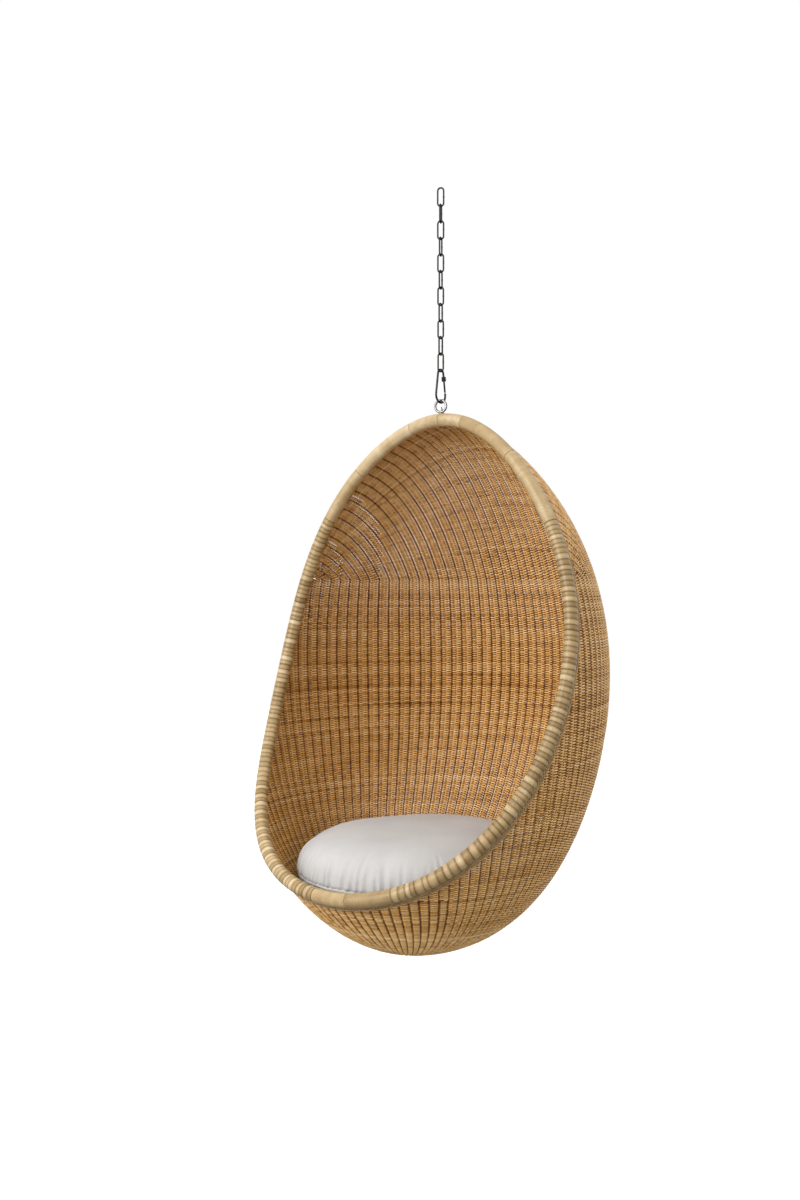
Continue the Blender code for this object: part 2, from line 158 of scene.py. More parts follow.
def rim_points(run):
    """Points of the rim's centre line, run metres from its crown; positive runs down the +X side."""
    run = (np.asarray(run, float) + RIM_LENGTH) % (2 * RIM_LENGTH) - RIM_LENGTH
    side = np.where(run < 0, -1.0, 1.0)
    x, y, z = (np.interp(np.abs(run), RIM_RUN, RIM_POINTS[:, axis]) for axis in range(3))
    return np.stack([side * x, y, z + RIM_Z], -1)


RIM_LINE = rim_points(np.linspace(-RIM_LENGTH, RIM_LENGTH, 1400, endpoint=False))


def rim_frames(run):
    """Centre, direction along, outward and sideways (towards the shell) at places of the rim."""
    run = np.asarray(run, float)
    centre = rim_points(run)
    along = rim_points(run + 0.004) - rim_points(run - 0.004)
    along /= np.linalg.norm(along, axis=-1, keepdims=True)
    flat = centre.reshape(-1, 3)
    out = normals(flat).reshape(centre.shape)
    out -= (out * along).sum(-1, keepdims=True) * along
    out /= np.linalg.norm(out, axis=-1, keepdims=True)
    return centre, along, out, np.cross(out, along)


def rim_distance(points):
    drop = np.clip(RIM_Z - points[:, 2], 0, RIM_DROP)
    near = np.abs(points[:, 1] - sheet_y(drop)) < 0.036
    away = np.full(len(points), 1.0)
    if near.any():
        apart = points[near][:, None, :] - RIM_LINE[None]
        away[near] = np.sqrt((apart**2).sum(-1).min(1))
    return away


def behind_opening(points):
    drop = RIM_Z - points[:, 2]
    return (drop > RIM_DROP) | (points[:, 1] > sheet_y(np.minimum(drop, RIM_DROP)))


def in_shell(points, away):
    return behind_opening(points) & (away > TUCK)


def rim_end(points, away, inner, outer):
    """Where a path that leaves the shell between two of its points tucks in at the rim."""
    if not 0 <= outer < len(points):
        return points[inner]
    fall = away[inner] - away[outer]
    share = np.clip((away[inner] - TUCK) / fall, 0, 1) if fall > 1e-6 else 0.0
    return points[inner] + share * (points[outer] - points[inner])


def clip_run(points):
    """The stretch of a path that the shell holds: first and last index, and the two end points."""
    away = rim_distance(points)
    held = np.flatnonzero(in_shell(points, away))
    if not len(held):
        return None
    low, high = int(held[0]), int(held[-1])
    return low, high, rim_end(points, away, low, low - 1), rim_end(points, away, high, high + 1)


# ---------------------------------------------------------------- meshes of strands
class Bundle:
    """Round or oval strands gathered into one mesh, each with its own tones and UV strip."""

    def __init__(self, sides):
        self.sides = sides
        self.reset()

    def reset(self):
        self.points, self.quads, self.caps, self.tones, self.quad_map = [], [], [], [], []
        self.strips, self.count, self.faces = 0, 0, 0

    def add(self, path, up, half_up, half_side, tone, closed=False):
        path, up = np.asarray(path, float), np.asarray(up, float)
        n, k = len(path), self.sides
        if closed:
            along = np.roll(path, -1, 0) - np.roll(path, 1, 0)
        else:
            along = np.gradient(path, axis=0)
        along /= np.maximum(np.linalg.norm(along, axis=1, keepdims=True), 1e-12)
        side = np.cross(along, up)
        side /= np.maximum(np.linalg.norm(side, axis=1, keepdims=True), 1e-12)
        top = np.cross(side, along)
        angle = 2 * pi * (np.arange(k) + 0.5) / k
        high = np.broadcast_to(half_up, n)[:, None, None] * np.cos(angle)[None, :, None]
        broad = np.broadcast_to(half_side, n)[:, None, None] * np.sin(angle)[None, :, None]
        rings = path[:, None, :] + high * top[:, None, :] + broad * side[:, None, :]
        step = np.linalg.norm(np.diff(path, axis=0, append=path[:1]), axis=1)
        run = np.concatenate(([0.0], np.cumsum(step)))
        run /= max(run[n if closed else n - 1], 1e-9)
        self.add_rings(rings, np.broadcast_to(tone, n)[:, None], run, 0.08, closed)

    def add_rings(self, rings, tones, run, margin, closed=False):
        """Joins rings of points into a tube, capped unless it is closed; run is how far along each is."""
        n, k = rings.shape[:2]
        self.points.append(rings.reshape(-1, 3))
        self.tones.append(np.broadcast_to(tones, (n, k)).ravel())
        i, j = np.meshgrid(np.arange(n if closed else n - 1), np.arange(k), indexing="ij")
        i2, j2 = (i + 1) % n, (j + 1) % k
        quads = np.stack([i * k + j, i * k + j2, i2 * k + j2, i2 * k + j], -1).reshape(-1, 4)
        self.quads.append(quads + self.count)
        u0, u1 = run[i], run[i + 1]
        v0, v1 = (self.strips + margin + (1 - 2 * margin) * edge / k for edge in (j, j + 1))
        self.quad_map.append(np.stack([u0, v0, u0, v1, u1, v1, u1, v0], -1).reshape(-1, 8))
        if not closed:
            first = np.arange(k)[::-1] + self.count
            final = (n - 1) * k + np.arange(k) + self.count
            self.caps += [(first, self.strips + 0.5, 0.0), (final, self.strips + 0.5, 1.0)]
        self.count += n * k
        self.faces += len(quads)
        self.strips += 1

    def build(self, name, mat, body, slot, nodes=()):
        points, quads = np.concatenate(self.points), np.concatenate(self.quads)
        mesh = bpy.data.meshes.new(name)
        mesh.vertices.add(len(points))
        mesh.vertices.foreach_set("co", points.astype(np.float32).ravel())
        caps = [face for face, _, _ in self.caps]
        loops = np.concatenate([quads.ravel(), *caps]) if caps else quads.ravel()
        mesh.loops.add(len(loops))
        mesh.loops.foreach_set("vertex_index", loops.astype(np.int32))
        starts = np.arange(len(quads)) * 4
        cap_starts = len(quads) * 4 + np.arange(len(caps)) * self.sides
        mesh.polygons.add(len(quads) + len(caps))
        starts = np.concatenate([starts, cap_starts]).astype(np.int32)
        mesh.polygons.foreach_set("loop_start", starts)
        mesh.polygons.foreach_set("use_smooth", np.ones(len(starts), bool))
        mesh.update(calc_edges=True)
        strips = float(self.strips)
        flat = np.concatenate(self.quad_map).reshape(-1, 2)
        flat[:, 1] /= strips
        cap_map = [np.tile((u, v / strips), (self.sides, 1)) for _, v, u in self.caps]
        if cap_map:
            flat = np.concatenate([flat, *cap_map])
        mesh.uv_layers.new(name="OFBake").data.foreach_set("uv", flat.astype(np.float32).ravel())
        tone = mesh.attributes.new("tone", "FLOAT", "POINT")
        tone.data.foreach_set("value", np.concatenate(self.tones).astype(np.float32))
        mesh.materials.append(mat)
        made = bpy.data.objects.new(name, mesh)
        bpy.context.scene.collection.objects.link(made)
        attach(made, body)
        if nodes:
            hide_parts(*nodes)
        self.reset()
        return made


# ---------------------------------------------------------------- materials
class Paint:
    """A procedural material: a Principled shader and helpers for the nodes in front of it."""

    def __init__(self, name, roughness=0.5, metallic=0.0):
        self.material = bpy.data.materials.new(name)
        self.material.use_nodes = True
        self.tree = self.material.node_tree
        self.shader = self.tree.nodes["Principled BSDF"]
        self.shader.inputs["Roughness"].default_value = roughness
        self.shader.inputs["Metallic"].default_value = metallic
        self.place = self.tree.nodes.new("ShaderNodeTexCoord").outputs["Object"]

    def link(self, out, into):
        self.tree.links.new(out, into)

    def noise(self, scale, detail=2.0, rough=0.5, where=None):
        node = self.tree.nodes.new("ShaderNodeTexNoise")
        node.inputs["Scale"].default_value = scale
        node.inputs["Detail"].default_value = detail
        node.inputs["Roughness"].default_value = rough
        self.link(where or self.place, node.inputs["Vector"])
        return node.outputs["Fac"]

    def stretched(self, scale):
        node = self.tree.nodes.new("ShaderNodeMapping")
        node.inputs["Scale"].default_value = scale
        self.link(self.place, node.inputs["Vector"])
        return node.outputs["Vector"]

    def tone(self):
        node = self.tree.nodes.new("ShaderNodeAttribute")
        node.attribute_name = "tone"
        return node.outputs["Fac"]

    def math(self, kind, *values):
        node = self.tree.nodes.new("ShaderNodeMath")
        node.operation = kind
        for socket, value in zip(node.inputs, values):
            if isinstance(value, (int, float)):
                socket.default_value = value
            else:
                self.link(value, socket)
        return node.outputs[0]

    def ramp(self, factor, stops):
        node = self.tree.nodes.new("ShaderNodeValToRGB")
        band = node.color_ramp
        while len(band.elements) < len(stops):
            band.elements.new(0.5)
        for element, (spot, colour) in zip(band.elements, stops):
            element.position = spot
            element.color = (*colour, 1.0)
        self.link(factor, node.inputs["Fac"])
        return node.outputs["Color"]

    def spread(self, factor, low, high):
        node = self.tree.nodes.new("ShaderNodeMapRange")
        node.inputs["From Min"].default_value = 0.3
        node.inputs["From Max"].default_value = 0.7
        node.inputs["To Min"].default_value = low
        node.inputs["To Max"].default_value = high
        self.link(factor, node.inputs["Value"])
        return node.outputs["Result"]

    def bump(self, height, strength, distance):
        node = self.tree.nodes.new("ShaderNodeBump")
        node.inputs["Strength"].default_value = strength
        node.inputs["Distance"].default_value = distance
        self.link(height, node.inputs["Height"])
        self.link(node.outputs["Normal"], self.shader.inputs["Normal"])


def cane_paint(name, stops, rough_low, rough_high, grain, shine=0.35):
    paint = Paint(name)
    patches = paint.noise(38.0, 3.0)
    fibre = paint.noise(grain, 2.0, 0.6)
    shade = paint.math("MULTIPLY_ADD", patches, 0.34, -0.17)
    fine = paint.math("MULTIPLY_ADD", fibre, 0.30, -0.15)
    value = paint.math("ADD", paint.math("ADD", paint.tone(), shade), fine)
    paint.link(paint.ramp(value, stops), paint.shader.inputs["Base Color"])
    paint.link(paint.spread(patches, rough_low, rough_high), paint.shader.inputs["Roughness"])
    paint.bump(fibre, 0.35, 0.0003)
    paint.shader.inputs["Specular IOR Level"].default_value = shine
    return paint.material


CANE = cane_paint(
    "woven_cane",
    (
        # The darkest stops give the colour of the painted shade in the middle of the wide gaps.
        (0.02, (0.095, 0.030, 0.005)),
        (0.30, (0.450, 0.205, 0.042)),
        (0.58, (0.780, 0.455, 0.150)),
        (0.90, (0.930, 0.710, 0.400)),
    ),
    0.30, 0.52, 620.0,
)
# Painted shade: the stake colours are darkened below the cane's own colour, for the stakes that stand
# behind the weavers.
STAKE = cane_paint(
    "shaded_stake_cane",
    ((0.10, (0.110, 0.040, 0.010)), (0.50, (0.220, 0.092, 0.024)), (0.95, (0.400, 0.200, 0.062))),
    0.45, 0.65, 520.0,
)
BORDER = cane_paint(
    "border_cane",
    ((0.10, (0.240, 0.130, 0.050)), (0.50, (0.470, 0.300, 0.130)), (0.95, (0.660, 0.490, 0.280))),
    0.38, 0.60, 560.0,
)
PEEL = cane_paint(
    "pale_peel",
    (
        (0.05, (0.115, 0.063, 0.020)),
        (0.35, (0.260, 0.165, 0.062)),
        (0.65, (0.440, 0.312, 0.155)),
        (0.90, (0.650, 0.525, 0.345)),
    ),
    0.28, 0.46, 420.0,
)


def metal_paint(name, dark, light, rough_low, rough_high):
    paint = Paint(name, metallic=1.0)
    wear = paint.noise(240.0, 4.0, 0.6)
    paint.link(paint.ramp(wear, ((0.35, dark), (0.70, light))), paint.shader.inputs["Base Color"])
    paint.link(paint.spread(wear, rough_low, rough_high), paint.shader.inputs["Roughness"])
    paint.bump(wear, 0.12, 0.0002)
    return paint.material


CHAIN_STEEL = metal_paint(
    "dark_chain_steel", (0.022, 0.021, 0.020), (0.052, 0.050, 0.047), 0.24, 0.46
)
HOOK_STEEL = metal_paint(
    "black_hook_steel", (0.020, 0.020, 0.021), (0.050, 0.049, 0.048), 0.26, 0.44
)
RIVET_STEEL = metal_paint(
    "rivet_steel", (0.080, 0.080, 0.080), (0.170, 0.170, 0.165), 0.26, 0.42
)
EYE_STEEL = metal_paint(
    "bright_eye_steel", (0.160, 0.158, 0.155), (0.340, 0.337, 0.330), 0.16, 0.28
)
PLATED_STEEL = metal_paint(
    "plated_steel", (0.380, 0.380, 0.370), (0.520, 0.520, 0.510), 0.28, 0.42
)
POLE_METAL = metal_paint(
    "rim_metal", (0.080, 0.060, 0.040), (0.130, 0.100, 0.070), 0.45, 0.60
)


def cloth_paint():
    paint = Paint("cushion_cloth", roughness=0.9)
    soft = paint.noise(9.0, 3.0)
    warp = paint.noise(1.0, 1.0, 0.4, paint.stretched((1500.0, 260.0, 260.0)))
    weft = paint.noise(1.0, 1.0, 0.4, paint.stretched((260.0, 1500.0, 260.0)))
    thread = paint.math("ADD", warp, weft)
    value = paint.math("MULTIPLY_ADD", thread, 0.25, soft)
    stops = ((0.45, (0.430, 0.418, 0.408)), (0.95, (0.500, 0.489, 0.478)))
    paint.link(paint.ramp(value, stops), paint.shader.inputs["Base Color"])
    paint.link(paint.spread(soft, 0.82, 0.95), paint.shader.inputs["Roughness"])
    paint.bump(thread, 0.25, 0.0004)
    paint.shader.inputs["Sheen Weight"].default_value = 0.15
    return paint.material


CLOTH = cloth_paint()


# ---------------------------------------------------------------- stakes and weavers
def pair_turns():
    """Where the pairs of stakes stand round the egg, from the front, a little wider apart there."""
    turn = np.linspace(-pi / 2, 1.5 * pi, 7201)
    from_front = np.minimum(turn + pi / 2, 1.5 * pi - turn)
    dense = 1 - 0.10 * (1 + np.cos(np.clip(from_front / radians(64), 0, 1) * pi))
    total = np.concatenate(([0.0], np.cumsum((dense[1:] + dense[:-1]) / 2)))
    return np.interp((np.arange(PAIRS) + 0.5) / PAIRS, total / total[-1], turn)


PAIR_TURN = pair_turns()
PAIR_STEP = (np.roll(PAIR_TURN, -1) - np.roll(PAIR_TURN, 1)) % (2 * pi) / 2
HALF_OPEN = PAIR_OPEN * PAIR_STEP
STAKE_TURN = np.stack([PAIR_TURN - HALF_OPEN, PAIR_TURN + HALF_OPEN], -1).ravel()
FRONT_PAIRS = 12
SINGLE_RING = 0.205
FRONT_DROP = 1.040
STRIDE_RINGS = ((0.112, 1), (0.056, 2), (0.028, 4))


def ring_size(drop):
    wide, _, deep = section(drop)
    return float(np.sqrt(wide * deep))


def ring_units(drop):
    """What a row passes at a depth: turns, half the width of each pass, and if a wide gap follows."""
    ring = ring_size(drop)
    if ring > SINGLE_RING:
        gaps = np.arange(2 * PAIRS) % 2 == 1
        if drop < FRONT_DROP:
            turns, wide = STAKE_TURN, np.full(2 * PAIRS, PASS_STAKE)
        else:
            front = FRONT_PAIRS
            middle, paired = slice(2 * front, -2 * front), np.ones(front, bool)
            turns = np.concatenate([PAIR_TURN[:front], STAKE_TURN[middle], PAIR_TURN[-front:]])
            gaps = np.concatenate([paired, gaps[middle], paired])
            wide = np.full(len(turns), PASS_STAKE)
            wide[:front] = wide[-front:] = PASS_PAIR
    else:
        stride = next((every for least, every in STRIDE_RINGS if ring > least), 8)
        turns = PAIR_TURN[::stride]
        gaps = np.ones(len(turns), bool)
        wide = np.full(len(turns), PASS_PAIR if stride == 1 else PASS_STAKE)
    after = (np.roll(turns, -1) - turns) % (2 * pi)
    before = (turns - np.roll(turns, 1)) % (2 * pi)
    return turns, wide * np.minimum(after, before), gaps


def threaded(place, half, gaps, sign, whole=0.0):
    """Places along a row, two on each stake and one in each wide gap, and its side at each."""
    longer = np.where(gaps & np.roll(gaps, 1), 1.0, LONG_PASS)
    lead = place - half * np.where(np.roll(gaps, 1), longer, 1.0)
    trail = place + half * np.where(gaps, longer, 1.0)
    following = np.append(lead[1:], lead[0] + whole)
    between = (trail + following) / 2
    always = np.ones(len(place), bool)
    keep = np.stack([always, always, gaps], -1)
    if not whole:
        keep[-1, 2] = False
    places = np.stack([lead, trail, between], -1)[keep]
    sides = np.stack([sign, sign, np.zeros(len(place))], -1)[keep]
    return places, sides


def wave(count, low, high, spread):
    """A slow random wobble along a row."""
    spot = np.linspace(0, 1, count)
    total = np.zeros(count)
    for _ in range(3):
        total += np.sin(2 * pi * (RANDOM.uniform(low, high) * spot + RANDOM.uniform()))
    return total * spread / 3


def row_band(number):
    """The lot of cane that a row was woven from, lighter or darker in broad bands."""
    middling = 0.022 * sin(number / 9.0 + 1.0)
    return middling + 0.020 * sin(number / 23.0) + 0.016 * sin(number / 4.1 + 2.0)


def add_row(bundle, path, sign, half_side, closed, band):
    """One weaver: over and under along its path, tucked in at the rim."""
    tone = 0.58 + band + RANDOM.normal(0, 0.085) + wave(len(path), 2, 9, 0.10)
    # Painted shade: the places in the middle of the wide gaps (side 0) are made darker.
    tone = tone - GAP_SHADE * (sign == 0)
    swing = sign * WEAVE_SWING * (1 + wave(len(path), 8, 30, 0.12))
    out = normals(path)
    along = np.roll(path, -1, 0) - np.roll(path, 1, 0)
    across = np.cross(out, along)
    across /= np.maximum(np.linalg.norm(across, axis=1, keepdims=True), 1e-12)
    path = path + across * wave(len(path), 3, 12, 0.00035)[:, None]
    if closed:
        bundle.add(path + out * swing[:, None], out, CANE_UP, half_side, tone, True)
        return
    clipped = clip_run(path)
    if clipped is None:
        return
    low, high, first, last = clipped
    if high - low < 3:
        return
    inner = slice(low, high + 1)
    body = path[inner] + out[inner] * swing[inner, None]
    strand = np.concatenate([first[None], body, last[None]])
    ups = np.concatenate([out[low][None], out[inner], out[high][None]])
    sides = np.concatenate([half_side[low : low + 1], half_side[inner], half_side[high : high + 1]])
    tones = np.concatenate([tone[low : low + 1], tone[inner], tone[high : high + 1]])
    bundle.add(strand, ups, CANE_UP, sides, tones)


def row_drops():
    """Depths of the level rows, evenly spaced over the surface from the fan down to the low pole."""
    drop = EGG_HEIGHT - (EGG_HEIGHT - FAN_DROP) * np.linspace(1, 0, 6001) ** 1.6
    wide, middle, deep = section(drop)
    lines = (wide, middle + deep, middle - deep)
    length = sum(np.hypot(np.diff(line), np.diff(drop)) for line in lines) / 3
    run = np.concatenate(([0.0], np.cumsum(length)))
    count = int((run[-1] - 0.010) / ROW_PITCH)
    return np.interp(np.arange(count + 1) * ROW_PITCH, run, drop)


class Weave:
    """Collects strands and starts a new piece when one is full."""

    def __init__(self, sides, title, mat):
        self.bundle = Bundle(sides)
        self.title, self.mat, self.number = title, mat, 0

    def room(self, last=False):
        if self.bundle.count and (last or self.bundle.faces > PIECE_FACES):
            self.number += 1
            name = f"{self.title}_{self.number:02d}"
            self.bundle.build(name, self.mat, "egg_chair", "woven_cane", ("woven_shell",))


def weave_level_rows(weave):
    drops = row_drops()
    step = np.gradient(drops)
    for number, (drop, fall) in enumerate(zip(drops, step)):
        turns, half, gaps = ring_units(drop)
        side = 1.0 - 2.0 * ((np.arange(len(turns)) + number) % 2)
        turn, sign = threaded(turns, half, gaps, side, 2 * pi)
        path = surface(np.full(len(turn), drop), turn)
        slope = np.array(section(drop + 1e-4)) - np.array(section(drop - 1e-4))
        slope /= 2e-4
        sideways, forward = slope[0] * np.cos(turn), slope[1] + slope[2] * np.sin(turn)
        rise = np.sqrt(1 + sideways**2 + forward**2)
        half_side = np.clip(0.62 * fall * rise, *CANE_SIDE)
        closed = bool(in_shell(path, rim_distance(path)).all())
        add_row(weave.bundle, path, sign, half_side, closed, row_band(number))
        weave.room()


FAN_Y = float(sheet_y(FAN_DROP))
FAN_EDGE = float(np.interp(FAN_DROP, -RIM_POINTS[:900, 2], RIM_POINTS[:900, 0])) - 0.004
FAN_TOP = radians(88)
LEAST_PITCH = 0.0017
LEAST_STAKES = 6


def fan_points(x, lift):
    """Surface points in the upright plane at x, at an angle lift about the fan's axis."""
    x, lift = np.broadcast_arrays(np.asarray(x, float), np.asarray(lift, float))
    near, far = np.zeros(x.shape), np.full(x.shape, 0.9)
    for _ in range(34):
        reach = (near + far) / 2
        y, drop = FAN_Y + reach * np.cos(lift), FAN_DROP - reach * np.sin(lift)
        wide, middle, deep = section(np.clip(drop, 1e-6, None))
        within = (drop > 0) & ((x / wide) ** 2 + ((y - middle) / deep) ** 2 < 1)
        near, far = np.where(within, reach, near), np.where(within, far, reach)
    y, drop = FAN_Y + near * np.cos(lift), FAN_DROP - near * np.sin(lift)
    return np.stack([x, y, RIM_Z - drop], -1), near


def fan_stakes():
    """X of the stakes where the fan starts, from +X to -X, with their numbers."""
    points = surface(np.full(len(STAKE_TURN), FAN_DROP), STAKE_TURN)
    held = np.flatnonzero((points[:, 1] > FAN_Y) & (np.abs(points[:, 0]) < FAN_EDGE))
    return held, points[held, 0]


def weave_fan_rows(weave):
    held, stake_x = fan_stakes()
    gap = np.abs(np.gradient(stake_x))
    before = np.abs(np.diff(stake_x, prepend=stake_x[0] + gap[0]))
    after = np.abs(np.diff(stake_x, append=stake_x[-1] - gap[-1]))
    half = PASS_STAKE * np.minimum(before, after)
    gaps = held % 2 == 1
    _, reach = fan_points(np.array([0.0]), np.array([radians(40)]))
    step = ROW_PITCH / float(reach[0])
    count = int(FAN_TOP / step)
    for number in range(1, count):
        lift = number * step
        _, reach = fan_points(stake_x, lift)
        level = 0
        while number % 2 ** (level + 1) == 0 and level < 6:
            level += 1
        crowding = LEAST_PITCH / np.maximum(reach * step, 1e-6)
        needed = np.ceil(np.log2(np.maximum(crowding, 1.0)))
        stay = needed <= level
        if stay.sum() < LEAST_STAKES:
            continue
        places = np.flatnonzero(stay)
        inner = slice(places[0], places[-1] + 1)
        pitch = reach * step * 2.0**needed
        side = 1.0 - 2.0 * ((held - number // 2 ** needed.astype(int)) % 2)
        across, sign = threaded(-stake_x[inner], half[inner], gaps[inner], side[inner])
        path, _ = fan_points(-across, lift)
        broad = 0.68 * np.interp(across, -stake_x[inner], pitch[inner])
        half_side = np.clip(broad, *CANE_SIDE)
        add_row(weave.bundle, path, sign, half_side, False, row_band(-number))
        weave.room()


STAKE_ENDS = ((2, 0.1085), (4, 0.0535), (8, 0.0262))


def stake_path(number, turn):
    """One stake from the low pole to the rim: up a meridian, then forward over the crown."""
    pair = number // 2
    ends = next((ring for every, ring in STAKE_ENDS if pair % every), 0.0085)
    low = EGG_HEIGHT - 1e-4
    grid = np.linspace(low, EGG_HEIGHT * 0.5, 4000)
    wide, _, deep = section(grid)
    start = float(np.interp(ends, np.sqrt(wide * deep), grid))
    fine = start - (start - FAN_DROP) * np.linspace(0, 1, 96) ** 1.35
    path = surface(fine, np.full(len(fine), turn))
    keep = in_shell(path, rim_distance(path))
    if keep.all() and abs(path[-1, 0]) < FAN_EDGE and path[-1, 1] > FAN_Y:
        lifts = np.linspace(0, radians(100), 72)[1:]
        upper, _ = fan_points(np.full(len(lifts), path[-1, 0]), lifts)
        path = np.concatenate([path, upper])
    away = rim_distance(path)
    keep = in_shell(path, away)
    stop = int(np.argmin(keep)) if not keep.all() else len(path)
    if stop < 3:
        return None
    if stop < len(path):
        end = rim_end(path, away, stop - 1, stop)
        path = np.concatenate([path[:stop], end[None]])
    return path


def weave_stakes(weave):
    for number, turn in enumerate(STAKE_TURN):
        path = stake_path(number, turn)
        if path is None:
            continue
        drop = RIM_Z - path[:, 2]
        wide, _, deep = section(drop)
        room = np.sqrt(wide * deep) * PAIR_STEP[number // 2] * PAIR_OPEN
        room = np.where(drop < FAN_DROP, STAKE_SIDE, np.minimum(room * 0.96, STAKE_SIDE))
        tone = 0.5 + RANDOM.normal(0, 0.10) + wave(len(path), 1, 6, 0.08)
        weave.bundle.add(path, normals(path), STAKE_UP, np.maximum(room, 0.0007), tone)
        weave.room()
    weave.room(True)


def build_weave():
    rows = Weave(5, "cane_weave", CANE)
    weave_level_rows(rows)
    weave_fan_rows(rows)
    rows.room(True)
    stakes = Weave(6, "cane_stakes", STAKE)
    weave_stakes(stakes)
    button = Bundle(8)
    count = 110
    turn = np.linspace(0, 2 * pi * 3.2, count)
    spread = np.linspace(0.0012, 0.0128, count)
    pole = surface(EGG_HEIGHT - 1e-6, 0.0)
    lift = 0.0012 + spread**2 * 2.6
    path = pole + np.stack([spread * np.cos(turn), spread * np.sin(turn), lift], -1)
    button.add(path, np.tile((0.0, 0.0, -1.0), (count, 1)), 0.0018, 0.0019, 0.45)
    button.build("base_knot", CANE, "egg_chair", "woven_cane", ("woven_shell",))


# ---------------------------------------------------------------- rim binding and border
PEEL_SIDES = 28
SMOOTH_RUNS = ((-0.405, 0.436), (1.399, 2 * RIM_LENGTH - 1.160))
BASE_TONES = (0.62, 0.56, 0.54, 0.66, 0.74, 0.70, 0.68, 0.60, 0.66, 0.48, 0.47, 0.50, 0.58)
LOW_SEAM = 1.509
TWIST_PITCH = 0.0165
BORDER_R = 0.0014


def wrap_stops(start, end, pitch, spread):
    count = max(2, round((end - start) / pitch))
    width = 1 + RANDOM.uniform(-spread, spread, count)
    stops = np.concatenate(([0.0], np.cumsum(width)))
    return start + (end - start) * stops / stops[-1]


def is_smooth(run):
    return any(low - 0.001 < run < high + 0.001 for low, high in SMOOTH_RUNS)


def add_binding(bundle, start, end, base_tone):
    """One length of wound peel: a ridge for each turn of the strip, closed in at both ends."""
    smooth = is_smooth((start + end) / 2)
    wide = 0.95 < (start + end) / 2 < 1.40
    pitch = 0.0075 if smooth else 0.0150 if wide else 0.0118
    stops = wrap_stops(start, end, pitch, 0.10 if smooth else 0.34 if wide else 0.18)
    runs, radii, tones = [], [], []
    # Painted shade: the tone offsets darken each turn towards its edges and most at the groove that
    # starts it, where shade falls between turns.
    for number, (low, high) in enumerate(zip(stops, stops[1:])):
        if smooth:
            marks, groove = (0.0, 0.12, 0.5, 0.88), 0.00010
            tone = base_tone + RANDOM.normal(0, 0.018)
            groove_shades = (-0.05, 0.0, 0.0, 0.0)
        else:
            marks = (0.0, 0.07, 0.26, 0.52, 0.78, 0.93)
            groove = RANDOM.uniform(0.0005, 0.0009)
            tone = base_tone + RANDOM.normal(0, 0.07) + (0.09 if number % 2 else -0.06)
            groove_shades = (-0.42, -0.16, 0.03, 0.06, -0.02, -0.18)
            if RANDOM.uniform() < 0.06:
                groove = 0.0016
        curve = np.sqrt(np.clip(np.sin(pi * np.array(marks)), 0, 1))
        for mark, full, shade in zip(marks, curve, groove_shades):
            runs.append(low + (high - low) * mark)
            radii.append(BINDING_R - groove * (1 - full))
            tones.append(tone + shade)
    runs.append(stops[-1])
    radii.append(BINDING_R - 0.0003)
    tones.append(base_tone - 0.25)
    runs, radii, tones = np.array(runs), np.array(radii), np.array(tones)
    lead = np.minimum(runs - start, end - runs)
    radii -= 0.0007 * np.clip(1 - lead / 0.0016, 0, 1) ** 2
    turn = 2 * pi * np.arange(PEEL_SIDES) / PEEL_SIDES
    lean = 0.0016 * np.clip(lead / 0.006, 0, 1)[:, None] * np.cos(turn + 0.9)[None, :]
    centre, _, out, side = rim_frames(runs[:, None] + lean)
    round_about = np.cos(turn)[None, :, None] * out - np.sin(turn)[None, :, None] * side
    rings = centre + radii[:, None, None] * round_about
    streaks = 0.03 * np.sin(5 * turn + RANDOM.uniform(0, 6))[None, :]
    bundle.add_rings(rings, tones[:, None] + streaks, np.linspace(0, 1, len(runs)), 0.03)


def build_binding():
    stops = sorted([-s for s in SEAMS_LEFT] + [0.0] + list(SEAMS_RIGHT))
    stops.append(stops[0] + 2 * RIM_LENGTH)
    for number, (start, end) in enumerate(zip(stops, stops[1:]), 1):
        bundle = Bundle(PEEL_SIDES)
        parts = [(start, end, BASE_TONES[number - 1])]
        if number == len(BASE_TONES):
            parts = [(start, LOW_SEAM, 0.50), (LOW_SEAM, end, 0.64)]
        for low, high, tone in parts:
            add_binding(bundle, low + GAP / 2, high - GAP / 2, tone)
        name, node = f"peel_binding_{number:02d}", f"rim_binding_{number:02d}"
        bundle.build(name, PEEL, "egg_chair", "pale_peel", (node,))


def build_border():
    bundle = Bundle(6)
    count = 2600
    run = np.linspace(-RIM_LENGTH, RIM_LENGTH, count, endpoint=False)
    centre, _, _, side = rim_frames(run)
    inward = np.where((side[:, 1:2] > 0), side, -side)
    turns = round(2 * RIM_LENGTH / TWIST_PITCH)
    for offset, twist in ((0.0188, 1.0), (0.0246, -1.0)):
        path = centre + inward * offset
        lean = normals(path)
        for strand in range(2):
            phase = 2 * pi * turns * np.arange(count) / count + pi * strand
            lift = 0.0050 + 0.0013 * np.cos(phase)
            shift = 0.0014 * np.sin(twist * phase)
            line = path + lean * lift[:, None] + inward * shift[:, None]
            tone = 0.5 + wave(count, 20, 90, 0.16)
            bundle.add(line, lean, BORDER_R, BORDER_R, tone, True)
    bundle.build("twisted_border", BORDER, "egg_chair", "border_cane", ("border_braid",))


# ---------------------------------------------------------------- chain and eye
def link_turn(number):
    share = (LINK_COUNT - number) / (LINK_COUNT - 1)
    turn = 4.0 + 20.0 * share**1.6
    return radians(turn + (90.0 if number % 2 == 0 else 0.0))


